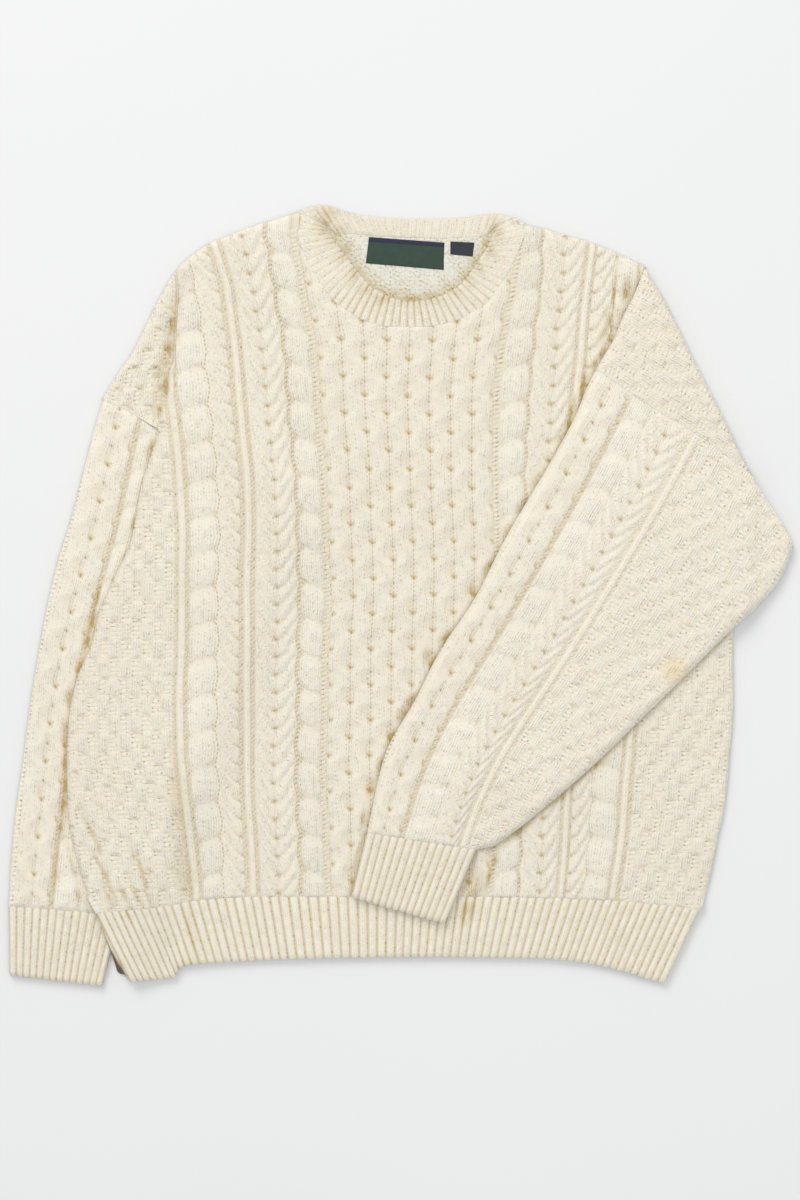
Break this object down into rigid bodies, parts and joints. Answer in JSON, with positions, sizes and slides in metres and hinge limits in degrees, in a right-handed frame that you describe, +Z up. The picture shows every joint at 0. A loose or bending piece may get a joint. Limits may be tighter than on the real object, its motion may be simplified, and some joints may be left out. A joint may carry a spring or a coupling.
{
  "type": "cable knit sweater",
  "caption": "Adult crew-neck pullover in cable and honeycomb knit with ribbed neck, hem and cuffs, laid flat with a sleeve and its shoulder folded across the front.",
  "frame": {"origin": "middle of the garment's outline, on the surface it lies on", "axes": "+Z up from the surface, +Y from the hem towards the neck, +X towards the side whose sleeve is folded across the front"},
  "size_m": [0.702, 0.7017, 0.0179],
  "materials": {
    "wool_body": "matte undyed wool, cable knit",
    "wool_sleeve": "matte undyed wool, cable knit",
    "wool_rib": "matte undyed wool, rib knit",
    "label_green": "satin woven tape",
    "label_black": "satin woven tape"
  },
  "bodies": {
    "root": {"back": "wool_body", "front": "wool_body", "sleeve_left": "wool_sleeve", "sleeve_right": "wool_sleeve", "hem_front": "wool_rib", "hem_back": "wool_rib", "cuff_left": "wool_rib", "cuff_right": "wool_rib", "neckband": "wool_rib", "label_main": "label_green", "label_care": "label_black"}
  },
  "joints": []
}
